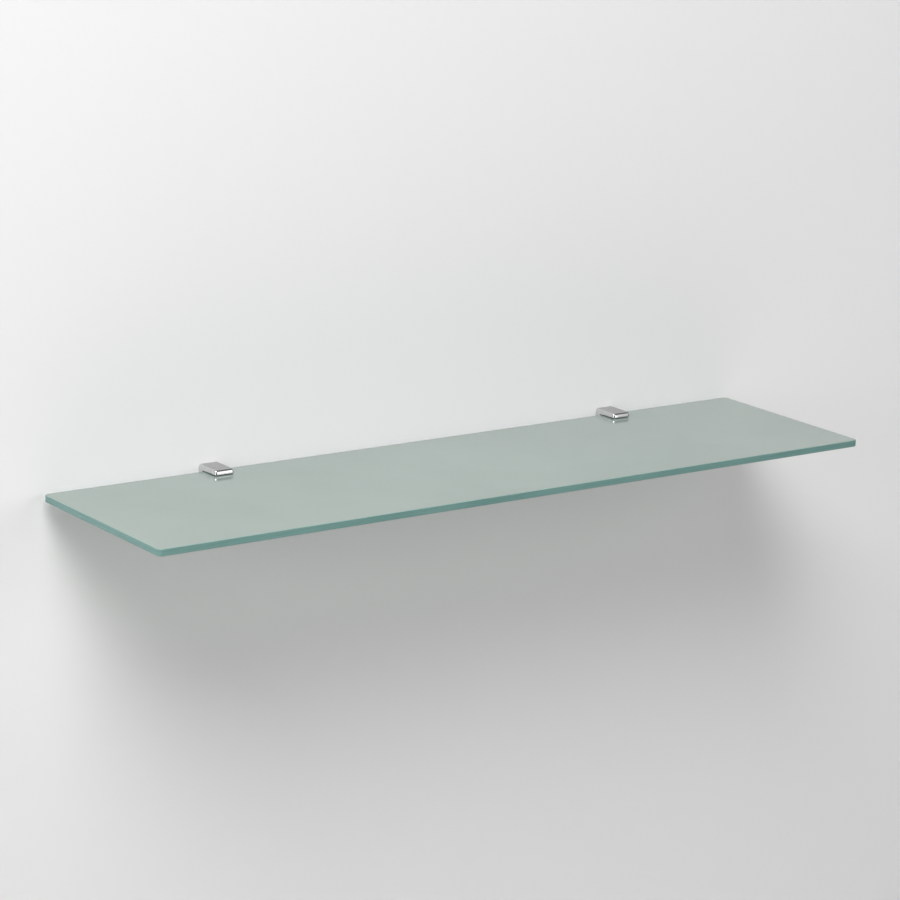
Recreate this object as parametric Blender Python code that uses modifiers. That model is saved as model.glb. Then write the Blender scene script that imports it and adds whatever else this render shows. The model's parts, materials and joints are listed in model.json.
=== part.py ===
"""Glass wall shelf held by two screw-clamp brackets.

Metres. +X runs along the wall, +Y into the wall and +Z up. The origin is on the wall's face, at the middle of
the glass's length and at the height of the wall screws, which is also the height of the glass's mid-plane.
"""

import math

import bmesh
import bpy

# Glass sheet
GLASS_LENGTH = 0.600
GLASS_DEPTH = 0.150
GLASS_THICKNESS = 0.005
GLASS_CORNER_RADIUS = 0.0035
GLASS_ARRIS = 0.0004
GLASS_TO_WALL = 0.0055

# Where the two brackets stand along the wall
BRACKET_SPACING = 0.351
BRACKET_OFFSET = 0.0083

# Bracket: a C-shaped casting, open at its front
BRACKET_WIDTH = 0.0160
BRACKET_DEPTH = 0.0215
BRACKET_CORNER_RADIUS = 0.0020
BRACKET_RIM_ROUND = 0.0010
SPINE_THICKNESS = 0.0050
UPPER_JAW_THICKNESS = 0.0034
LOWER_JAW_THICKNESS = 0.0050

# Clamping parts
CONTACT_GAP = 0.00015
RUNNING_GAP = 0.0003
UPPER_PAD_THICKNESS = 0.0003
UPPER_PAD_INSET = 0.0008
PRESSURE_PAD_THICKNESS = 0.0015
PRESSURE_PAD_WIDTH = 0.0140
PAD_CORNER_RADIUS = 0.0010
CLAMP_TRAVEL = 0.002
CLAMP_SCREW_DIAMETER = 0.005
CLAMP_SCREW_LENGTH = 0.006
CLAMP_SCREW_CHAMFER = 0.0005
HEX_SOCKET_WIDTH = 0.0025
HEX_SOCKET_DEPTH = 0.0030

# Wall fixings
WALL_SCREW_DIAMETER = 0.0035
WALL_SCREW_HEAD_DIAMETER = 0.0068
WALL_SCREW_LENGTH = 0.040
WALL_SCREW_POINT = 0.005
CROSS_RECESS_SPAN = 0.0036
CROSS_RECESS_WIDTH = 0.0008
CROSS_RECESS_DEPTH = 0.0012
WALL_PLUG_DIAMETER = 0.006
WALL_PLUG_LENGTH = 0.030
WALL_PLUG_NOSE = 0.002
WALL_PLUG_SET_BACK = 0.0025

# Worked out from the above, in each bracket's own frame: x = 0 on its middle, y = 0 on the wall
GLASS_TOP = GLASS_THICKNESS / 2
UPPER_PAD_BOTTOM = GLASS_TOP + CONTACT_GAP
MOUTH_TOP = UPPER_PAD_BOTTOM + UPPER_PAD_THICKNESS + CONTACT_GAP
BRACKET_TOP = MOUTH_TOP + UPPER_JAW_THICKNESS
PRESSURE_PAD_TOP = -GLASS_TOP - CONTACT_GAP
PRESSURE_PAD_BOTTOM = PRESSURE_PAD_TOP - PRESSURE_PAD_THICKNESS
MOUTH_BOTTOM = PRESSURE_PAD_BOTTOM - CLAMP_TRAVEL - CONTACT_GAP
BRACKET_BOTTOM = MOUTH_BOTTOM - LOWER_JAW_THICKNESS
CLAMP_SCREW_TOP = PRESSURE_PAD_BOTTOM - CONTACT_GAP
CLAMP_SCREW_Y = -(BRACKET_DEPTH + GLASS_TO_WALL) / 2

ROUND_STEPS = 24
CORNER_SEGMENTS = 5
SAME_PLACE = 1e-6
BEYOND = 0.002


def clear_scene():
    for scene_object in list(bpy.data.objects):
        bpy.data.objects.remove(scene_object, do_unlink=True)


def new_collection(name):
    collection = bpy.data.collections.new(name)
    bpy.context.scene.collection.children.link(collection)
    return collection


def new_material(name, colour, roughness, metallic=0.0, transmission=0.0):
    material = bpy.data.materials.new(name)
    material.use_nodes = True
    shader = material.node_tree.nodes["Principled BSDF"]
    shader.inputs["Base Color"].default_value = (*colour, 1.0)
    shader.inputs["Roughness"].default_value = roughness
    shader.inputs["Metallic"].default_value = metallic
    shader.inputs["Transmission Weight"].default_value = transmission
    return material


def new_object(name, mesh, collection, location, parent=None, material=None):
    piece = bpy.data.objects.new(name, mesh)
    collection.objects.link(piece)
    piece.parent = parent
    piece.location = location
    if material:
        mesh.materials.append(material)
    return piece


def mesh_from(shape, name):
    mesh = bpy.data.meshes.new(name)
    shape.to_mesh(mesh)
    shape.free()
    return mesh


def is_upright(edge):
    first, second = (vertex.co for vertex in edge.verts)
    return (first.xy - second.xy).length < SAME_PLACE


def block_shape(size, corner_radius=0.0, rim_round=0.0, flat_back=False):
    """A box about the origin with rounded upright corners and rounded top and bottom rims.

    With flat_back, the corners and rims at +Y stay sharp, for a piece that sits flat on the wall.
    """
    shape = bmesh.new()
    bmesh.ops.create_cube(shape, size=1.0)
    bmesh.ops.scale(shape, vec=size, verts=shape.verts)
    back = size[1] / 2 - SAME_PLACE

    def at_back(edge):
        return flat_back and all(vertex.co.y > back for vertex in edge.verts)

    if corner_radius:
        corners = [edge for edge in shape.edges if is_upright(edge) and not at_back(edge)]
        bmesh.ops.bevel(
            shape, geom=corners, offset=corner_radius, segments=CORNER_SEGMENTS, profile=0.5, affect="EDGES"
        )
    if rim_round:
        top = size[2] / 2 - SAME_PLACE
        level = [edge for edge in shape.edges if min(abs(vertex.co.z) for vertex in edge.verts) > top]
        rims = [edge for edge in level if not at_back(edge) and not is_upright(edge)]
        bmesh.ops.bevel(shape, geom=rims, offset=rim_round, segments=3, profile=0.5, affect="EDGES")
    return shape


def add_block(name, low, high, collection, parent=None, material=None, origin=None, **rounding):
    """A block from its low to its high corner; its object's origin is the block's centre, or the one given."""
    size = [end - start for start, end in zip(low, high)]
    centre = [(start + end) / 2 for start, end in zip(low, high)]
    shape = block_shape(size, **rounding)
    if origin:
        shift = [middle - zero for middle, zero in zip(centre, origin)]
        bmesh.ops.translate(shape, vec=shift, verts=shape.verts)
    return new_object(name, mesh_from(shape, name), collection, origin or centre, parent, material)


def add_turned(
    name, profile, collection, location, rotation=(0.0, 0.0, 0.0), parent=None, material=None, closed=False
):
    """A turned shape about local Z, from (radius, height) points that run down its outer side."""
    mesh = bpy.data.meshes.new(name)
    points = [(radius, 0.0, height) for radius, height in profile]
    count = len(points)
    edges = [(i, (i + 1) % count) for i in range(count if closed else count - 1)]
    mesh.from_pydata(points, edges, [])
    piece = new_object(name, mesh, collection, location, parent, material)
    piece.rotation_euler = rotation
    turn = piece.modifiers.new("turn", "SCREW")
    turn.angle = math.tau
    turn.steps = ROUND_STEPS
    turn.render_steps = ROUND_STEPS
    turn.use_merge_vertices = True
    turn.merge_threshold = 1e-5
    turn.use_smooth_shade = True
    return piece


def as_cutter(piece):
    piece.hide_render = True
    piece.display_type = "WIRE"
    return piece


def cut(piece, cutter):
    difference = piece.modifiers.new(f"cut {cutter.name}", "BOOLEAN")
    difference.operation = "DIFFERENCE"
    difference.solver = "EXACT"
    difference.object = cutter


def make_glass(parts):
    glass = new_material("frosted_glass", (0.46, 0.56, 0.51), 0.12, transmission=0.3)
    front = -GLASS_TO_WALL - GLASS_DEPTH
    add_block(
        "glass_shelf",
        (-GLASS_LENGTH / 2, front, -GLASS_TOP),
        (GLASS_LENGTH / 2, -GLASS_TO_WALL, GLASS_TOP),
        parts,
        material=glass,
        corner_radius=GLASS_CORNER_RADIUS,
        rim_round=GLASS_ARRIS,
    )


def make_bracket(side, site, parts, cutters, material):
    """The casting: a block with the mouth for the glass, the tapped hole and the wall screw's hole cut out."""
    half_width = BRACKET_WIDTH / 2
    bracket = add_block(
        f"{side}_bracket",
        (-half_width, -BRACKET_DEPTH, BRACKET_BOTTOM),
        (half_width, 0.0, BRACKET_TOP),
        parts,
        parent=site,
        material=material,
        corner_radius=BRACKET_CORNER_RADIUS,
        rim_round=BRACKET_RIM_ROUND,
        flat_back=True,
    )
    mouth = add_block(
        f"{side}_mouth_cutter",
        (-half_width - BEYOND, -BRACKET_DEPTH - BEYOND, MOUTH_BOTTOM),
        (half_width + BEYOND, -SPINE_THICKNESS, MOUTH_TOP),
        cutters,
        parent=site,
    )
    tapped_radius = CLAMP_SCREW_DIAMETER / 2
    tapped_hole = add_turned(
        f"{side}_tapped_hole_cutter",
        [
            (0.0, MOUTH_BOTTOM + BEYOND),
            (tapped_radius, MOUTH_BOTTOM + BEYOND),
            (tapped_radius, BRACKET_BOTTOM - BEYOND),
            (0.0, BRACKET_BOTTOM - BEYOND),
        ],
        cutters,
        (0.0, CLAMP_SCREW_Y, 0.0),
        parent=site,
    )
    hole_radius = WALL_SCREW_DIAMETER / 2 + RUNNING_GAP
    sink_radius = WALL_SCREW_HEAD_DIAMETER / 2 + RUNNING_GAP
    screw_hole = add_turned(
        f"{side}_screw_hole_cutter",
        [
            (0.0, SPINE_THICKNESS + BEYOND),
            (sink_radius, SPINE_THICKNESS + BEYOND),
            (sink_radius, SPINE_THICKNESS),
            (hole_radius, SPINE_THICKNESS - (sink_radius - hole_radius)),
            (hole_radius, -BEYOND),
            (0.0, -BEYOND),
        ],
        cutters,
        (0.0, 0.0, 0.0),
        rotation=(math.pi / 2, 0.0, 0.0),
        parent=site,
    )
    for cutter in (mouth, tapped_hole, screw_hole):
        cut(bracket, as_cutter(cutter))


def make_upper_pad(side, site, parts, material):
    half_width = BRACKET_WIDTH / 2 - UPPER_PAD_INSET
    add_block(
        f"{side}_upper_pad",
        (-half_width, -BRACKET_DEPTH + UPPER_PAD_INSET, UPPER_PAD_BOTTOM),
        (half_width, -GLASS_TO_WALL, UPPER_PAD_BOTTOM + UPPER_PAD_THICKNESS),
        parts,
        parent=site,
        material=material,
        corner_radius=PAD_CORNER_RADIUS,
    )


def make_pressure_pad(side, site, parts, material):
    """The plate that the clamp screw pushes up; its back edge runs along the bracket's spine."""
    add_block(
        f"{side}_pressure_pad",
        (-PRESSURE_PAD_WIDTH / 2, -BRACKET_DEPTH + UPPER_PAD_INSET, PRESSURE_PAD_BOTTOM),
        (PRESSURE_PAD_WIDTH / 2, -SPINE_THICKNESS - RUNNING_GAP, PRESSURE_PAD_TOP),
        parts,
        parent=site,
        material=material,
        origin=(0.0, CLAMP_SCREW_Y, PRESSURE_PAD_BOTTOM),
        corner_radius=PAD_CORNER_RADIUS,
    )


def make_clamp_screw(side, site, parts, cutters, material):
    """A grub screw that points up, with a hexagon socket in its lower end."""
    radius = CLAMP_SCREW_DIAMETER / 2 - RUNNING_GAP
    chamfer_radius = radius - CLAMP_SCREW_CHAMFER
    axis_place = (0.0, CLAMP_SCREW_Y, CLAMP_SCREW_TOP)
    screw = add_turned(
        f"{side}_clamp_screw",
        [
            (0.0, 0.0),
            (chamfer_radius, 0.0),
            (radius, -CLAMP_SCREW_CHAMFER),
            (radius, CLAMP_SCREW_CHAMFER - CLAMP_SCREW_LENGTH),
            (chamfer_radius, -CLAMP_SCREW_LENGTH),
            (0.0, -CLAMP_SCREW_LENGTH),
        ],
        parts,
        axis_place,
        parent=site,
        material=material,
    )
    hexagon = bmesh.new()
    corner_radius = HEX_SOCKET_WIDTH / math.sqrt(3)
    height = HEX_SOCKET_DEPTH + BEYOND
    bmesh.ops.create_cone(
        hexagon, cap_ends=True, segments=6, radius1=corner_radius, radius2=corner_radius, depth=height
    )
    middle = HEX_SOCKET_DEPTH - CLAMP_SCREW_LENGTH - height / 2
    bmesh.ops.translate(hexagon, vec=(0.0, 0.0, middle), verts=hexagon.verts)
    socket_name = f"{side}_hex_socket_cutter"
    socket = new_object(socket_name, mesh_from(hexagon, socket_name), cutters, axis_place, site)
    cut(screw, as_cutter(socket))


def make_wall_screw(side, site, parts, cutters, material):
    """A countersunk screw, its head just under the spine's front and its point in the wall."""
    radius = WALL_SCREW_DIAMETER / 2
    head_radius = WALL_SCREW_HEAD_DIAMETER / 2
    head_top = SPINE_THICKNESS - CONTACT_GAP
    neck = head_top - (head_radius - radius)
    tip = head_top - WALL_SCREW_LENGTH
    screw = add_turned(
        f"{side}_wall_screw",
        [
            (0.0, head_top),
            (head_radius, head_top),
            (radius, neck),
            (radius, tip + WALL_SCREW_POINT),
            (0.0, tip),
        ],
        parts,
        (0.0, 0.0, 0.0),
        rotation=(math.pi / 2, 0.0, 0.0),
        parent=site,
        material=material,
    )
    long_half = CROSS_RECESS_SPAN / 2
    short_half = CROSS_RECESS_WIDTH / 2
    for name, half_x, half_z in (("upright", short_half, long_half), ("level", long_half, short_half)):
        slot = add_block(
            f"{side}_{name}_recess_cutter",
            (-half_x, -head_top - BEYOND, -half_z),
            (half_x, -head_top + CROSS_RECESS_DEPTH, half_z),
            cutters,
            parent=site,
        )
        cut(screw, as_cutter(slot))


def make_wall_plug(side, site, parts, material):
    """A sleeve around the wall screw, sunk a little under the wall's face, with a tapered nose."""
    radius = WALL_PLUG_DIAMETER / 2
    bore = WALL_SCREW_DIAMETER / 2 + RUNNING_GAP
    mouth = -WALL_PLUG_SET_BACK
    nose_radius = (radius + bore) / 2
    add_turned(
        f"{side}_wall_plug",
        [
            (radius, mouth),
            (radius, mouth - WALL_PLUG_LENGTH + WALL_PLUG_NOSE),
            (nose_radius, mouth - WALL_PLUG_LENGTH),
            (bore, mouth - WALL_PLUG_LENGTH),
            (bore, mouth),
        ],
        parts,
        (0.0, 0.0, 0.0),
        rotation=(math.pi / 2, 0.0, 0.0),
        parent=site,
        material=material,
        closed=True,
    )


def main():
    clear_scene()
    parts = new_collection("wall_shelf")
    cutters = new_collection("cutters")
    cast_metal = new_material("satin_chrome", (0.62, 0.62, 0.61), 0.28, metallic=1.0)
    soft_pad = new_material("clear_vinyl", (0.16, 0.18, 0.17), 0.45)
    nylon = new_material("white_nylon", (0.78, 0.78, 0.75), 0.50)
    dark_steel = new_material("dark_steel", (0.12, 0.12, 0.13), 0.40, metallic=1.0)
    zinc_steel = new_material("zinc_steel", (0.60, 0.61, 0.62), 0.35, metallic=1.0)
    plug_nylon = new_material("grey_nylon", (0.38, 0.39, 0.40), 0.55)

    make_glass(parts)
    for side, direction in (("left", -1), ("right", 1)):
        site = bpy.data.objects.new(f"{side}_site", None)
        parts.objects.link(site)
        site.location = (BRACKET_OFFSET + direction * BRACKET_SPACING / 2, 0.0, 0.0)
        make_bracket(side, site, parts, cutters, cast_metal)
        make_upper_pad(side, site, parts, soft_pad)
        make_pressure_pad(side, site, parts, nylon)
        make_clamp_screw(side, site, parts, cutters, dark_steel)
        make_wall_screw(side, site, parts, cutters, zinc_steel)
        make_wall_plug(side, site, parts, plug_nylon)


main()
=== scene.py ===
import json
import math

import bmesh
import bpy
from mathutils import Matrix, Vector


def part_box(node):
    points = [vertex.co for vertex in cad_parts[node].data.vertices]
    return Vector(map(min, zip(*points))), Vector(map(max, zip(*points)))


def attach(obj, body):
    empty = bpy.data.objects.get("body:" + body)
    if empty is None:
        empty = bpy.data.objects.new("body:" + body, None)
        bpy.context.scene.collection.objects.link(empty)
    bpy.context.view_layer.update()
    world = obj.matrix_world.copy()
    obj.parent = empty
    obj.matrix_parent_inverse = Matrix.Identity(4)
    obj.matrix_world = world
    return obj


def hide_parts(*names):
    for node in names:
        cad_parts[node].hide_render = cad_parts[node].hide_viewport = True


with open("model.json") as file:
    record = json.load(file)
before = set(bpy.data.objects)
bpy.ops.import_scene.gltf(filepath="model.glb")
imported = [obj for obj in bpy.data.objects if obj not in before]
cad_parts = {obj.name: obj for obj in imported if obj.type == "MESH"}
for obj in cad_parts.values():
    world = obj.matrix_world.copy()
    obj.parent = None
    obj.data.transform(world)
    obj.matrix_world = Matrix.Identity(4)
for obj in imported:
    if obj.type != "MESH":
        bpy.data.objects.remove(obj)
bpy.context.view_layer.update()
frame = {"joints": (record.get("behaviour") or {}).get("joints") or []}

SIDES = ("left", "right")

# Glass edge: a narrow ground arris above and below a flat band
GLASS_CORNER_RADIUS = 0.0035
GLASS_CORNER_STEPS = 12
ARRIS = 0.0004
ARRIS_BULGE = 0.00003
ARRIS_STEPS = 4

# The least lean of a normal on the glass's flat faces, and the most on its upright band
FACE_LEAN = 0.99
BAND_LEAN = 0.1

# Bracket details that its box doesn't give
BRACKET_CORNER_RADIUS = 0.0020
BRACKET_CORNER_STEPS = 10
BRACKET_ARC_STEPS = 8
SPINE_THICKNESS = 0.0050
MOUTH_FILLET = 0.0006
MOUTH_FILLET_STEPS = 5

# The rim's arcs from the side upwards: radius, and the tilt in degrees where it starts and ends
BRACKET_RIM_ARCS = ((0.0060, 4, 23), (0.0023, 23, 55), (0.0004, 55, 90))

# Edges of the mouth that turn by more than this angle are rounded
MOUTH_EDGE_ANGLE = math.radians(60)
MOUTH_EDGE_ROUND = 0.00035
MOUTH_EDGE_SEGMENTS = 4

# The least lean of a normal on the bracket's satin top, whose darker colour is painted shade
SATIN_LEAN = 0.999

# Pads, and the softening of a pad's edges as shares (inset, distance from the flat face)
PAD_GAP = 0.00015
PAD_CORNER_RADIUS = 0.0010
PAD_CORNER_STEPS = 6
PAD_EDGE_ROUND = 0.00012
PAD_SEAT_CHAMFER = 0.0003
SOFT_EDGE = ((1.0, 0.0), (0.3, 0.3), (0.0, 1.0))

# Metric thread of the clamp screw and of the hole it turns in, meshed with a little play
THREAD_PITCH = 0.0008
SCREW_THREAD = {"core": 0.00195, "ridge": 0.00040, "foot": 0.00028, "crest": 0.00005}
HOLE_THREAD = {"core": 0.00210, "ridge": 0.00040, "foot": 0.00027, "crest": 0.00004}
THREAD_CHAMFER = 0.0005
SCREW_END_TAPER = 0.0002
THREAD_SINK_PLAY = 0.0002
THREAD_SINK_REACH = 0.0005

# Hex socket: the drilled tip past its floor rises by a share of the socket's radius.
# Its lead-in is given as (distance past the socket's corners, height above the screw's face).
HEX_SOCKET_WIDTH = 0.0025
HEX_SOCKET_DEPTH = 0.0028
HEX_SOCKET_TIP_RADIUS = 0.0002
HEX_SOCKET_TIP_SHARE = 0.55
HEX_SOCKET_LEAD_IN = ((0.0007, -0.0006), (-0.0001, 0.0002))

# Wall screw
WALL_THREAD_PITCH = 0.0014
WALL_THREAD = {"core": 0.00122, "ridge": 0.00053, "foot": 0.00026, "crest": 0.00004}
WALL_SCREW_STEPS = 32
WALL_SCREW_POINT = 0.006
WALL_SCREW_POINT_POWER = 0.7
WALL_SCREW_TIP_RADIUS = 0.00005
WALL_SCREW_NECK = 0.004
WALL_SCREW_HEAD_EDGE = 0.00025
HOLE_CLEARANCE = 0.0003

# Cross recess: its arms' span at the floor and above the head is given as shares of RECESS_SPAN
RECESS_SPAN = 0.0038
RECESS_WIDTH = 0.00075
RECESS_DEPTH = 0.0016
RECESS_ABOVE = 0.0005
RECESS_SPAN_SHARES = (0.45, 1.15)
RECESS_WIDTH_TAPER = 0.4

# Wall plug
PLUG_TOOTH = 0.0015
PLUG_TOOTH_DEPTH = 0.00035
PLUG_TOOTH_SLOPE_SHARE = 0.85
PLUG_COLLAR = 0.0012
PLUG_COLLAR_SLOPE = 0.0008
PLUG_SLIT_WIDTH = 0.0006
PLUG_SOLID_END = 0.006
PLUG_NOSE = 0.0025

# Smooth shading breaks at edges sharper than these
SHARP_ANGLE = math.radians(32)
GLASS_SHARP_ANGLE = math.radians(20)

# Cutters reach this far past what they cut
BEYOND = 0.002

# Tolerances: TINY for points that were made to coincide, NEAR for points and heights after a cut
TINY = 1e-7
NEAR = 1e-6

# Points round a turned shape or a thread, and the turns that a thread has to spare at each end
ROUND_STEPS = 48
SPARE_TURNS = 2

# The camera stands to the left in front of the shelf and looks down at it
CAMERA_PLACE = (-1.3144, -1.8332, 0.5785)
CAMERA_YAW = math.radians(36.466)
CAMERA_PITCH = math.radians(14.468)
CAMERA_ROLL = math.radians(2.182)
CAMERA_LENS = 128.68

ROOM_SIZE = 12.0
WALL_BEHIND = 0.0003
FLOOR_DROP = 1.3
WORLD_COLOUR = (0.80, 0.81, 0.82)
WORLD_STRENGTH = 0.22


# ---------------------------------------------------------------- node helpers


def add_node(tree, kind, inputs=None, **settings):
    """A new node with its settings, and each input set to a value or linked to a socket."""
    node = tree.nodes.new(kind)
    for key, value in settings.items():
        setattr(node, key, value)
    for key, value in (inputs or {}).items():
        if isinstance(value, bpy.types.NodeSocket):
            tree.links.new(value, node.inputs[key])
        else:
            node.inputs[key].default_value = value
    return node


def new_material(name):
    material = bpy.data.materials.new(name)
    material.use_nodes = True
    tree = material.node_tree
    return material, tree, tree.nodes["Principled BSDF"]


def noise(tree, scale, stretch=(1.0, 1.0, 1.0), detail=3.0, roughness=0.5):
    """Cloudy noise in the part's own coordinates; scale is in cells a metre before the stretch."""
    place = add_node(tree, "ShaderNodeTexCoord")
    stretched = add_node(tree, "ShaderNodeMapping", {"Vector": place.outputs["Object"], "Scale": stretch})
    texture = add_node(
        tree,
        "ShaderNodeTexNoise",
        {"Vector": stretched.outputs["Vector"], "Scale": scale, "Detail": detail, "Roughness": roughness},
    )
    return texture.outputs[0]


def remap(tree, value, low, high, from_low=0.35, from_high=0.65):
    node = add_node(
        tree,
        "ShaderNodeMapRange",
        {"Value": value, "From Min": from_low, "From Max": from_high, "To Min": low, "To Max": high},
    )
    return node.outputs["Result"]


def blend(tree, factor, first, second):
    """A colour between first and second; each is three numbers or a socket."""
    node = add_node(tree, "ShaderNodeMix", data_type="RGBA")
    tree.links.new(factor, node.inputs["Factor"])
    for socket, colour in ((node.inputs[6], first), (node.inputs[7], second)):
        if isinstance(colour, bpy.types.NodeSocket):
            tree.links.new(colour, socket)
        else:
            socket.default_value = (*colour, 1.0)
    return node.outputs[2]


def bump(tree, height, strength, distance):
    node = add_node(tree, "ShaderNodeBump", {"Height": height, "Strength": strength, "Distance": distance})
    return node.outputs["Normal"]


def set_shader(tree, shader, **inputs):
    """Sets or links inputs of the shader; a name's underscores stand for spaces."""
    for key, value in inputs.items():
        socket = shader.inputs[key.replace("_", " ")]
        if isinstance(value, bpy.types.NodeSocket):
            tree.links.new(value, socket)
        elif isinstance(value, tuple) and socket.type == "RGBA":
            socket.default_value = (*value, 1.0)
        else:
            socket.default_value = value


# ---------------------------------------------------------------- materials


def make_glass_face():
    """The polished upper face, with the milky underside showing through it."""
    material, tree, shader = new_material("glass_polished_face")
    cloud = remap(tree, noise(tree, 6.0), 0.0, 1.0)
    smudge = noise(tree, 45.0, detail=6.0, roughness=0.65)
    dust = remap(tree, noise(tree, 2600.0, detail=2.0), 0.0, 0.30, 0.70, 0.80)
    milk = blend(tree, cloud, (0.255, 0.311, 0.286), (0.286, 0.342, 0.316))
    set_shader(
        tree,
        shader,
        Base_Color=blend(tree, dust, milk, (0.60, 0.63, 0.61)),
        Roughness=remap(tree, smudge, 0.025, 0.075),
        IOR=1.52,
    )
    return material


def make_glass_underside():
    """The etched lower face."""
    material, tree, shader = new_material("glass_etched_face")
    cloud = remap(tree, noise(tree, 9.0), 0.0, 1.0)
    grain = noise(tree, 3200.0, detail=4.0, roughness=0.7)
    set_shader(
        tree,
        shader,
        Base_Color=blend(tree, cloud, (0.44, 0.54, 0.49), (0.48, 0.57, 0.52)),
        Roughness=remap(tree, grain, 0.50, 0.68),
        Normal=bump(tree, grain, 0.25, 0.00005),
        IOR=1.52,
    )
    return material


def make_glass_edge():
    """The ground edge, deep green because the sight line runs through the glass's whole width."""
    material, tree, shader = new_material("glass_ground_edge")
    strokes = noise(tree, 30.0, stretch=(1.0, 1.0, 120.0), detail=5.0, roughness=0.6)
    depth = remap(tree, noise(tree, 14.0), 0.0, 1.0)
    set_shader(
        tree,
        shader,
        Base_Color=blend(tree, depth, (0.136, 0.268, 0.246), (0.166, 0.306, 0.282)),
        Roughness=remap(tree, strokes, 0.22, 0.38),
        Normal=bump(tree, strokes, 0.12, 0.00004),
        IOR=1.52,
    )
    return material


def make_glass_arris():
    """The narrow slanted facets between faces and edge, ground matt and so the lightest."""
    material, tree, shader = new_material("glass_ground_arris")
    grit = noise(tree, 1500.0, detail=4.0, roughness=0.7)
    set_shader(
        tree,
        shader,
        Base_Color=blend(tree, remap(tree, grit, 0.0, 1.0), (0.20, 0.30, 0.27), (0.28, 0.38, 0.35)),
        Roughness=remap(tree, grit, 0.42, 0.60),
        Normal=bump(tree, grit, 0.2, 0.00003),
        IOR=1.52,
    )
    return material


def make_cast_metal(name, dark, light, roughness, grain):
    """Plated casting: a fine orange-peel surface, a little duller where it is handled."""
    material, tree, shader = new_material(name)
    peel = noise(tree, 900.0, detail=4.0, roughness=0.6)
    handled = noise(tree, 160.0, detail=5.0, roughness=0.6)
    set_shader(
        tree,
        shader,
        Base_Color=blend(tree, remap(tree, handled, 0.0, 1.0), dark, light),
        Metallic=1.0,
        Roughness=remap(tree, handled, *roughness),
        Normal=bump(tree, peel, grain, 0.00006),
    )
    return material


def make_shaded_vinyl():
    """Soft clear vinyl, painted near black: painted shade for the shadow it lies in between metal and
    glass.
    """
    material, tree, shader = new_material("soft_vinyl_painted_shade")
    mottle = noise(tree, 700.0, detail=3.0)
    set_shader(
        tree,
        shader,
        # Painted shade: the clear vinyl is coloured near black for the shadow under the jaw
        Base_Color=blend(tree, remap(tree, mottle, 0.0, 1.0), (0.075, 0.090, 0.086), (0.105, 0.120, 0.115)),
        Roughness=remap(tree, mottle, 0.32, 0.48),
        Normal=bump(tree, mottle, 0.15, 0.00004),
    )
    return material


def make_nylon(name, dark, light, roughness):
    """Moulded nylon, slightly grainy, scuffed in patches."""
    material, tree, shader = new_material(name)
    grain = noise(tree, 1300.0, detail=3.0)
    scuff = noise(tree, 260.0, stretch=(1.0, 0.3, 1.0), detail=6.0, roughness=0.65)
    set_shader(
        tree,
        shader,
        Base_Color=blend(tree, remap(tree, scuff, 0.0, 1.0), dark, light),
        Roughness=remap(tree, scuff, *roughness),
        Normal=bump(tree, grain, 0.2, 0.00005),
        Subsurface_Weight=0.15,
        Subsurface_Scale=0.001,
    )
    return material


def make_steel(name, dark, light, roughness):
    """Plated steel with fine turning marks and small dull patches."""
    material, tree, shader = new_material(name)
    patches = noise(tree, 500.0, detail=5.0, roughness=0.65)
    marks = noise(tree, 400.0, stretch=(1.0, 1.0, 12.0), detail=4.0)
    set_shader(
        tree,
        shader,
        Base_Color=blend(tree, remap(tree, patches, 0.0, 1.0), dark, light),
        Metallic=1.0,
        Roughness=remap(tree, patches, *roughness),
        Normal=bump(tree, marks, 0.12, 0.00003),
    )
    return material


# ---------------------------------------------------------------- shapes


def loft(rings, joined=False):
    """A closed skin over rings of points: with flat caps or, if joined, from the last ring to the first."""
    shape = bmesh.new()
    rows = [[shape.verts.new(point) for point in ring] for ring in rings]
    runs = list(zip(rows, rows[1:]))
    if joined:
        runs.append((rows[-1], rows[0]))
    else:
        shape.faces.new(reversed(rows[0]))
        shape.faces.new(rows[-1])
    count = len(rows[0])
    for near, far in runs:
        for i in range(count):
            j = (i + 1) % count
            shape.faces.new((near[i], near[j], far[j], far[i]))
    bmesh.ops.recalc_face_normals(shape, faces=shape.faces)
    return shape


def rounded_rectangle(half_x, half_y, radius, steps, inset=0.0):
    """Corner points of a rounded rectangle about (0, 0), anticlockwise, moved in by inset."""
    points = []
    for corner, (sign_x, sign_y) in enumerate(((1, 1), (-1, 1), (-1, -1), (1, -1))):
        for step in range(steps + 1):
            angle = (corner + step / steps) * math.pi / 2
            points.append(
                (
                    sign_x * (half_x - radius) + (radius - inset) * math.cos(angle),
                    sign_y * (half_y - radius) + (radius - inset) * math.sin(angle),
                )
            )
    return points


def plate(low, high, radius, edge_round):
    """A plate with rounded upright corners and softened upper and lower edges."""
    size = high - low
    centre = (low + high) / 2
    sections = [(edge_round * inset, low.z + edge_round * rise) for inset, rise in SOFT_EDGE]
    sections += [(edge_round * inset, high.z - edge_round * drop) for inset, drop in reversed(SOFT_EDGE)]
    rings = []
    for inset, height in sections:
        outline = rounded_rectangle(size.x / 2, size.y / 2, radius, PAD_CORNER_STEPS, inset)
        rings.append([(centre.x + x, centre.y + y, height) for x, y in outline])
    return loft(rings)


def lathe(profile, steps=ROUND_STEPS, joined=False):
    """A turned shape about Z from (radius, height) points that run up its outer side."""
    rings = [
        [
            (radius * math.cos(math.tau * step / steps), radius * math.sin(math.tau * step / steps), height)
            for step in range(steps)
        ]
        for radius, height in profile
    ]
    return loft(rings, joined)


def prism(corners, low, high):
    """An upright prism on (x, y) corners given anticlockwise."""
    return loft([[(x, y, height) for x, y in corners] for height in (low, high)])


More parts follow.
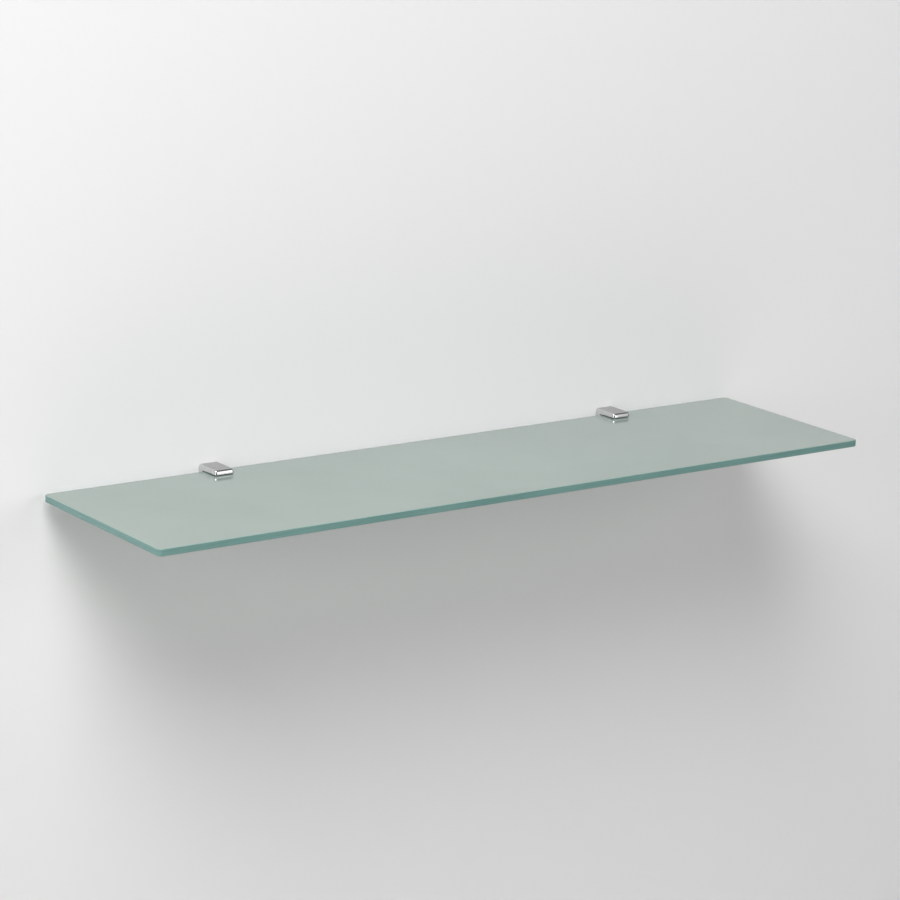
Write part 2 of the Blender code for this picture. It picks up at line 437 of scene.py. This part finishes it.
def threaded_rod(low, high, pitch, core_at, ridge_at, foot, crest, phase=0.0, steps=ROUND_STEPS):
    """A rod about Z with a right-hand ridge, whose rows of points follow the helix.

    core_at and ridge_at give the core's radius and the ridge's height at a height on the rod.
    foot and crest are the ridge's half widths along the rod.
    The ridge must have no height at either end of the rod.
    """
    profile = ((-pitch / 2, 0.0), (-foot, 0.0), (-crest, 1.0), (crest, 1.0), (foot, 0.0))
    first_turn = math.floor((low - phase) / pitch) - SPARE_TURNS
    last_turn = math.ceil((high - phase) / pitch) + SPARE_TURNS
    starts = [
        (phase + turn * pitch + offset, share)
        for turn in range(first_turn, last_turn)
        for offset, share in profile
    ]
    shape = bmesh.new()
    rows = []
    for start, share in starts:
        row = []
        for step in range(steps):
            angle = math.tau * step / steps
            height = min(max(start + pitch * step / steps, low), high)
            radius = core_at(height) + share * ridge_at(height)
            row.append(shape.verts.new((radius * math.cos(angle), radius * math.sin(angle), height)))
        rows.append(row)
    shift = len(profile)
    last = len(rows) - 1

    def corner(row, step):
        return rows[row][step] if step < steps else rows[min(row + shift, last)][0]

    for row in range(last):
        for step in range(steps):
            corners = [
                corner(row, step),
                corner(row, step + 1),
                corner(row + 1, step + 1),
                corner(row + 1, step),
            ]
            if len(set(corners)) == 4:
                shape.faces.new(corners)
    bmesh.ops.remove_doubles(shape, verts=shape.verts, dist=TINY)
    loose = [vertex for vertex in shape.verts if not vertex.link_faces]
    bmesh.ops.delete(shape, geom=loose, context="VERTS")
    bmesh.ops.holes_fill(shape, edges=[edge for edge in shape.edges if edge.is_boundary])
    bmesh.ops.recalc_face_normals(shape, faces=shape.faces)
    return shape


def object_from(shape, name, place=None):
    """An object at the origin with this shape, moved to its place in the mesh."""
    if place:
        bmesh.ops.transform(shape, matrix=place, verts=shape.verts)
    mesh = bpy.data.meshes.new(name)
    shape.to_mesh(mesh)
    shape.free()
    made = bpy.data.objects.new(name, mesh)
    bpy.context.scene.collection.objects.link(made)
    return made


def bake_modifiers(target):
    """The object's mesh becomes what its modifiers make of it."""
    bpy.context.view_layer.update()
    graph = bpy.context.evaluated_depsgraph_get()
    target.data = bpy.data.meshes.new_from_object(target.evaluated_get(graph))
    target.modifiers.clear()


def subtract(target, *cutters):
    """Cuts the cutters out of the target, removes them and merges the slivers that the cuts leave."""
    for cutter in cutters:
        difference = target.modifiers.new(cutter.name, "BOOLEAN")
        difference.operation = "DIFFERENCE"
        difference.solver = "EXACT"
        difference.object = cutter
    bake_modifiers(target)
    for cutter in cutters:
        bpy.data.objects.remove(cutter)
    shape = bmesh.new()
    shape.from_mesh(target.data)
    bmesh.ops.remove_doubles(shape, verts=shape.verts, dist=NEAR)
    bmesh.ops.dissolve_degenerate(shape, edges=shape.edges, dist=NEAR)
    shape.to_mesh(target.data)
    shape.free()


def cut_cross(target, make_arm, name, place):
    """Cuts out two arms that cross at right angles about the place's Z."""
    arms = [
        object_from(make_arm(), f"{name}_{turn}", place @ Matrix.Rotation(turn * math.pi / 2, 4, "Z"))
        for turn in range(2)
    ]
    subtract(target, *arms)


def out_of_wall(x):
    """Turns a shape made about Z so that it points out of the wall at this x."""
    return Matrix.Translation((x, 0.0, 0.0)) @ Matrix.Rotation(math.pi / 2, 4, "X")


def round_mouth(target, bottom, top):
    """Softens the outer edges of the mouth's roof and floor."""
    shape = bmesh.new()
    shape.from_mesh(target.data)
    edges = []
    for edge in shape.edges:
        heights = [vertex.co.z for vertex in edge.verts]
        level = abs(heights[0] - heights[1]) < TINY
        at_mouth = min(abs(heights[0] - bottom), abs(heights[0] - top)) < NEAR
        if level and at_mouth and len(edge.link_faces) == 2 and edge.calc_face_angle() > MOUTH_EDGE_ANGLE:
            edges.append(edge)
    bmesh.ops.bevel(
        shape,
        geom=edges,
        offset=MOUTH_EDGE_ROUND,
        segments=MOUTH_EDGE_SEGMENTS,
        profile=0.5,
        affect="EDGES",
    )
    shape.to_mesh(target.data)
    shape.free()


def finish_piece(piece, node, body, materials, pick=None, sharp=SHARP_ANGLE):
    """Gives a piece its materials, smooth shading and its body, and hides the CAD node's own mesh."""
    mesh = piece.data
    mesh.materials.clear()
    for material in materials:
        mesh.materials.append(material)
    for face in mesh.polygons:
        face.material_index = pick(face) if pick else 0
    mesh.shade_smooth()
    mesh.set_sharp_from_angle(angle=sharp)
    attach(piece, body)
    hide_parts(node)


# ---------------------------------------------------------------- the shelf's pieces


def make_glass():
    low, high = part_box("glass_shelf")
    size = high - low
    centre = (low + high) / 2
    rise = [
        (
            ARRIS * (1 - step / ARRIS_STEPS) - ARRIS_BULGE * math.sin(math.pi * step / ARRIS_STEPS),
            ARRIS * step / ARRIS_STEPS,
        )
        for step in range(ARRIS_STEPS + 1)
    ]
    sections = [(inset, low.z + up) for inset, up in rise]
    sections += [(inset, high.z - up) for inset, up in reversed(rise)]
    rings = []
    for inset, height in sections:
        outline = rounded_rectangle(size.x / 2, size.y / 2, GLASS_CORNER_RADIUS, GLASS_CORNER_STEPS, inset)
        rings.append([(centre.x + x, centre.y + y, height) for x, y in outline])
    piece = object_from(loft(rings), "frosted_glass_sheet")

    def surface_of(face):
        lean = face.normal.z
        if lean > FACE_LEAN:
            return 0
        if lean < -FACE_LEAN:
            return 1
        return 2 if abs(lean) < BAND_LEAN else 3

    materials = (make_glass_face(), make_glass_underside(), make_glass_edge(), make_glass_arris())
    finish_piece(piece, "glass_shelf", "glass", materials, surface_of, GLASS_SHARP_ANGLE)


def bulged_rim():
    """A slowly bulging side that turns into a tight rim, as (inset, drop from the flat face) upwards."""
    points = [(0.0, 0.0)]
    for radius, start, end in BRACKET_RIM_ARCS:
        first, last = math.radians(start), math.radians(end)
        inset, up = points[-1]
        for step in range(1, BRACKET_ARC_STEPS + 1):
            tilt = first + (last - first) * step / BRACKET_ARC_STEPS
            points.append(
                (
                    inset + radius * (math.cos(first) - math.cos(tilt)),
                    up + radius * (math.sin(tilt) - math.sin(first)),
                )
            )
    total = points[-1][1]
    return [(inset, total - up) for inset, up in points]


def bracket_block(low, high):
    """The casting's outer form, square at the wall, with rounded front corners, top rim and bottom rim."""
    middle = (low.x + high.x) / 2
    half = (high.x - low.x) / 2
    radius = BRACKET_CORNER_RADIUS

    def outline(inset):
        corners = [(1, high.y, inset), (-1, high.y, inset)]
        for side, start in ((-1, math.pi), (1, 1.5 * math.pi)):
            for step in range(BRACKET_CORNER_STEPS + 1):
                angle = start + step / BRACKET_CORNER_STEPS * math.pi / 2
                reach = radius - inset
                y = low.y + radius + reach * math.sin(angle)
                corners.append((side, y, radius - reach * abs(math.cos(angle))))
        return [(middle + side * (half - pulled_in), y) for side, y, pulled_in in corners]

    rise = bulged_rim()
    sections = [(inset, low.z + drop) for inset, drop in reversed(rise)]
    sections += [(inset, high.z - drop) for inset, drop in rise]
    return loft([[(x, y, height) for x, y in outline(inset)] for inset, height in sections])


def mouth_cutter(low, high, bottom, top):
    """A bar from side to side through the casting, open to the front and filleted at the back."""
    back = -SPINE_THICKNESS
    front = low.y - BEYOND
    outline = rounded_rectangle((back - front) / 2, (top - bottom) / 2, MOUTH_FILLET, MOUTH_FILLET_STEPS)
    rings = [
        [(x, (back + front) / 2 + y, (top + bottom) / 2 + z) for y, z in outline]
        for x in (low.x - BEYOND, high.x + BEYOND)
    ]
    return object_from(loft(rings), "mouth")


def tapped_hole_cutters(side, bottom, top):
    """The threaded hole through the lower jaw, from bottom to top, and the chamfer where it starts."""
    screw_low, screw_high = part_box(f"{side}_clamp_screw")
    core, ridge = HOLE_THREAD["core"], HOLE_THREAD["ridge"]
    hole = threaded_rod(
        bottom - BEYOND,
        top + BEYOND,
        THREAD_PITCH,
        lambda height: core,
        lambda height: ridge if bottom - BEYOND / 2 < height < top + BEYOND / 2 else 0.0,
        HOLE_THREAD["foot"],
        HOLE_THREAD["crest"],
        phase=screw_high.z,
    )
    sink_radius = core + ridge + THREAD_SINK_PLAY
    sink = lathe(
        [
            (sink_radius + THREAD_SINK_REACH, bottom - THREAD_SINK_REACH),
            (core, bottom + sink_radius - core),
        ]
    )
    middle = (screw_low + screw_high) / 2
    axis = Matrix.Translation((middle.x, middle.y, 0.0))
    return object_from(hole, "tapped_hole", axis), object_from(sink, "thread_sink", axis)


def screw_hole_cutter(side):
    """The countersunk hole for the wall screw, through the casting's spine."""
    head_low, head_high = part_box(f"{side}_wall_screw")
    head_radius = (head_high.x - head_low.x) / 2 + HOLE_CLEARANCE
    shank_radius = WALL_THREAD["core"] + WALL_THREAD["ridge"] + HOLE_CLEARANCE
    hole = lathe(
        [
            (shank_radius, -BEYOND),
            (shank_radius, SPINE_THICKNESS - (head_radius - shank_radius)),
            (head_radius, SPINE_THICKNESS),
            (head_radius, SPINE_THICKNESS + BEYOND),
        ]
    )
    return object_from(hole, "screw_hole", out_of_wall((head_low.x + head_high.x) / 2))


def make_bracket(side, satin_painted_shade, polished):
    low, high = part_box(f"{side}_bracket")
    travel = next(joint["range_m"][1] for joint in frame["joints"] if joint["name"] == f"{side}_pad_travel")
    mouth_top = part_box(f"{side}_upper_pad")[1].z + PAD_GAP
    mouth_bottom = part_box(f"{side}_pressure_pad")[0].z - travel - PAD_GAP
    piece = object_from(bracket_block(low, high), f"{side}_clamp_casting")
    subtract(piece, mouth_cutter(low, high, mouth_bottom, mouth_top))
    round_mouth(piece, mouth_bottom, mouth_top)
    subtract(piece, *tapped_hole_cutters(side, low.z, mouth_bottom), screw_hole_cutter(side))

    # The flat top takes the satin chrome, whose darker colour is painted shade; all else takes the polished
    # rim
    def surface_of(face):
        return 0 if face.normal.z > SATIN_LEAN and face.center.z > high.z - NEAR else 1

    finish_piece(piece, f"{side}_bracket", "brackets", (satin_painted_shade, polished), surface_of)


def make_pads(side, vinyl, nylon):
    low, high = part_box(f"{side}_upper_pad")
    upper = object_from(plate(low, high, PAD_CORNER_RADIUS, PAD_EDGE_ROUND), f"{side}_vinyl_pad")
    finish_piece(upper, f"{side}_upper_pad", "brackets", (vinyl,))

    low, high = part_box(f"{side}_pressure_pad")
    lower = object_from(plate(low, high, PAD_CORNER_RADIUS, 2 * PAD_EDGE_ROUND), f"{side}_nylon_pad")
    screw_low, screw_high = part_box(f"{side}_clamp_screw")
    axis = (screw_low + screw_high) / 2
    seat_radius = (screw_high.x - screw_low.x) / 2
    seat = lathe(
        [
            (seat_radius + PAD_SEAT_CHAMFER, low.z - BEYOND),
            (seat_radius + PAD_SEAT_CHAMFER, low.z),
            (seat_radius, low.z + PAD_SEAT_CHAMFER),
        ]
    )
    subtract(lower, object_from(seat, "screw_seat", Matrix.Translation((axis.x, axis.y, 0.0))))
    finish_piece(lower, f"{side}_pressure_pad", f"{side}_pressure_pad", (nylon,))


def make_clamp_screw(side, steel):
    low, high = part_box(f"{side}_clamp_screw")
    core, ridge = SCREW_THREAD["core"], SCREW_THREAD["ridge"]

    def end_share(height):
        return min(1.0, (high.z - height) / THREAD_CHAMFER, (height - low.z) / THREAD_CHAMFER)

    shape = threaded_rod(
        low.z,
        high.z,
        THREAD_PITCH,
        lambda height: core - SCREW_END_TAPER * (1 - end_share(height)),
        lambda height: ridge * end_share(height),
        SCREW_THREAD["foot"],
        SCREW_THREAD["crest"],
        phase=high.z,
    )
    place = Matrix.Translation(((low.x + high.x) / 2, (low.y + high.y) / 2, 0.0))
    piece = object_from(shape, f"{side}_grub_screw", place)
    corner_radius = HEX_SOCKET_WIDTH / math.sqrt(3)
    floor = low.z + HEX_SOCKET_DEPTH
    sections = (
        (corner_radius, low.z - BEYOND),
        (corner_radius, floor),
        (HEX_SOCKET_TIP_RADIUS, floor + corner_radius * HEX_SOCKET_TIP_SHARE),
    )
    socket = lathe(sections, steps=6)
    lead_in = lathe([(corner_radius + past, low.z + up) for past, up in HEX_SOCKET_LEAD_IN])
    subtract(piece, object_from(socket, "hex_socket", place), object_from(lead_in, "socket_lead_in", place))
    finish_piece(piece, f"{side}_clamp_screw", f"{side}_clamp_screw", (steel,))


def make_wall_screw(side, steel):
    low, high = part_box(f"{side}_wall_screw")
    head_radius = (high.x - low.x) / 2
    top = -low.y
    tip = -high.y
    core, ridge = WALL_THREAD["core"], WALL_THREAD["ridge"]
    cone_end = top - WALL_SCREW_HEAD_EDGE - (head_radius - core)

    def core_at(height):
        point = min(1.0, (height - tip) / WALL_SCREW_POINT)
        head = max(0.0, height - cone_end)
        return min(max(WALL_SCREW_TIP_RADIUS, core * point**WALL_SCREW_POINT_POWER) + head, head_radius)

    def ridge_at(height):
        run_out = min(1.0, (cone_end - WALL_SCREW_NECK / 2 - height) / (WALL_SCREW_NECK / 2))
        return ridge * max(0.0, min(1.0, (height - tip) / WALL_SCREW_POINT, run_out))

    shape = threaded_rod(
        tip,
        top,
        WALL_THREAD_PITCH,
        core_at,
        ridge_at,
        WALL_THREAD["foot"],
        WALL_THREAD["crest"],
        steps=WALL_SCREW_STEPS,
    )
    place = out_of_wall((low.x + high.x) / 2)
    piece = object_from(shape, f"{side}_countersunk_screw", place)
    rings = []
    for height, share in zip((top - RECESS_DEPTH, top + RECESS_ABOVE), RECESS_SPAN_SHARES):
        x = RECESS_SPAN / 2 * share
        y = RECESS_WIDTH / 2 * (1 - RECESS_WIDTH_TAPER + RECESS_WIDTH_TAPER * share)
        rings.append([(x, y, height), (-x, y, height), (-x, -y, height), (x, -y, height)])
    cut_cross(piece, lambda: loft(rings), "recess", place)
    finish_piece(piece, f"{side}_wall_screw", "brackets", (steel,))


def make_wall_plug(side, nylon):
    low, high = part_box(f"{side}_wall_plug")
    radius = (high.x - low.x) / 2
    bore = WALL_THREAD["core"] + WALL_THREAD["ridge"] + HOLE_CLEARANCE
    mouth, end = -low.y, -high.y
    waist = radius - PLUG_TOOTH_DEPTH
    profile = [(bore, end), ((radius + bore) / 2, end)]
    height = end + PLUG_NOSE
    while height < mouth - PLUG_SOLID_END:
        profile += [(waist, height), (radius, height + PLUG_TOOTH * PLUG_TOOTH_SLOPE_SHARE)]
        height += PLUG_TOOTH
    collar = mouth - PLUG_COLLAR
    profile += [(waist, height), (waist, collar - PLUG_COLLAR_SLOPE), (radius, collar)]
    profile += [(radius, mouth), (bore, mouth)]
    place = out_of_wall((low.x + high.x) / 2)
    piece = object_from(lathe(profile, joined=True), f"{side}_ribbed_plug", place)
    half = PLUG_SLIT_WIDTH / 2
    reach = radius + BEYOND
    corners = [(reach, half), (-reach, half), (-reach, -half), (reach, -half)]
    cut_cross(piece, lambda: prism(corners, end - BEYOND, mouth - PLUG_SOLID_END), "slit", place)
    finish_piece(piece, f"{side}_wall_plug", "brackets", (nylon,))


# ---------------------------------------------------------------- studio


def one_sided(name, colour):
    """A matt surface seen from its front only, so that views from behind look through it."""
    material, tree, shader = new_material(name)
    set_shader(tree, shader, Base_Color=colour, Roughness=0.9)
    facing = add_node(tree, "ShaderNodeNewGeometry")
    clear = add_node(tree, "ShaderNodeBsdfTransparent")
    mix = add_node(tree, "ShaderNodeMixShader", {0: facing.outputs["Backfacing"]})
    tree.links.new(shader.outputs["BSDF"], mix.inputs[1])
    tree.links.new(clear.outputs["BSDF"], mix.inputs[2])
    tree.links.new(mix.outputs["Shader"], tree.nodes["Material Output"].inputs["Surface"])
    return material


def make_backdrop(name, place, tilt, colour):
    """A plain square, tilted forwards from facing up, that belongs to the studio."""
    shape = bmesh.new()
    bmesh.ops.create_grid(shape, x_segments=2, y_segments=2, size=ROOM_SIZE / 2)
    made = object_from(shape, name)
    made.location = place
    made.rotation_euler = (tilt, 0.0, 0.0)
    made.data.materials.append(one_sided(f"{name}_paint", colour))


def add_area_light(name, place, size, power, target_x=0.0):
    """A soft box aimed at the frame's X axis, target_x from the origin."""
    lamp = bpy.data.lights.new(name, "AREA")
    lamp.shape = "RECTANGLE"
    lamp.size, lamp.size_y = size
    lamp.energy = power
    made = bpy.data.objects.new(name, lamp)
    bpy.context.scene.collection.objects.link(made)
    made.location = place
    made.rotation_euler = (Vector(place) - Vector((target_x, 0.0, 0.0))).to_track_quat("Z", "Y").to_euler()


def make_world():
    world = bpy.data.worlds.new("studio")
    world.use_nodes = True
    background = world.node_tree.nodes["Background"].inputs
    background["Color"].default_value = (*WORLD_COLOUR, 1.0)
    background["Strength"].default_value = WORLD_STRENGTH
    bpy.context.scene.world = world


def make_studio():
    make_backdrop("wall", place=(0.0, WALL_BEHIND, 0.0), tilt=math.pi / 2, colour=(0.86, 0.86, 0.855))
    make_backdrop("floor", place=(0.0, 0.0, -FLOOR_DROP), tilt=0.0, colour=(0.80, 0.80, 0.79))
    add_area_light("overhead", place=(-1.25, -1.4, 2.1), size=(1.6, 1.4), power=72.0, target_x=-0.2)
    add_area_light("front", place=(0.85, -2.05, 0.58), size=(1.3, 1.1), power=7.0)
    add_area_light("front_right", place=(1.85, -2.05, 0.58), size=(0.75, 1.1), power=1.8)
    add_area_light("left", place=(-1.75, -0.95, 0.35), size=(0.6, 0.6), power=4.5)
    make_world()
    bpy.context.scene.view_settings.view_transform = "Standard"


def make_camera():
    camera = bpy.data.objects.new("camera", bpy.data.cameras.new("camera"))
    bpy.context.scene.collection.objects.link(camera)
    camera.data.lens = CAMERA_LENS
    turn = Matrix.Rotation(-CAMERA_YAW, 4, "Z")
    tilt = Matrix.Rotation(math.pi / 2 - CAMERA_PITCH, 4, "X")
    lean = Matrix.Rotation(CAMERA_ROLL, 4, "Z")
    camera.matrix_world = Matrix.Translation(CAMERA_PLACE) @ turn @ tilt @ lean
    bpy.context.scene.camera = camera


def main():
    make_camera()
    make_studio()
    make_glass()
    # Satin top: a rougher finish than the rim, and its darker colour than the rim is painted shade
    satin_painted_shade = make_cast_metal(
        "satin_chrome_top_painted_shade",
        dark=(0.38, 0.38, 0.39),
        light=(0.50, 0.50, 0.50),
        roughness=(0.27, 0.42),
        grain=0.35,
    )
    polished = make_cast_metal(
        "polished_chrome_rim",
        dark=(0.62, 0.62, 0.62),
        light=(0.68, 0.68, 0.68),
        roughness=(0.09, 0.15),
        grain=0.04,
    )
    # The upper pads' vinyl is painted near black as shade
    vinyl = make_shaded_vinyl()
    white_nylon = make_nylon(
        "white_nylon", dark=(0.70, 0.70, 0.66), light=(0.78, 0.78, 0.75), roughness=(0.42, 0.58)
    )
    grey_nylon = make_nylon(
        "grey_nylon", dark=(0.32, 0.33, 0.34), light=(0.40, 0.41, 0.42), roughness=(0.48, 0.64)
    )
    black_steel = make_steel(
        "black_oxide_steel", dark=(0.050, 0.050, 0.055), light=(0.085, 0.085, 0.090), roughness=(0.30, 0.46)
    )
    zinc_steel = make_steel(
        "zinc_plated_steel", dark=(0.58, 0.60, 0.63), light=(0.66, 0.67, 0.68), roughness=(0.24, 0.40)
    )
    for side in SIDES:
        make_bracket(side, satin_painted_shade, polished)
        make_pads(side, vinyl, white_nylon)
        make_clamp_screw(side, black_steel)
        make_wall_screw(side, zinc_steel)
        make_wall_plug(side, grey_nylon)


main()
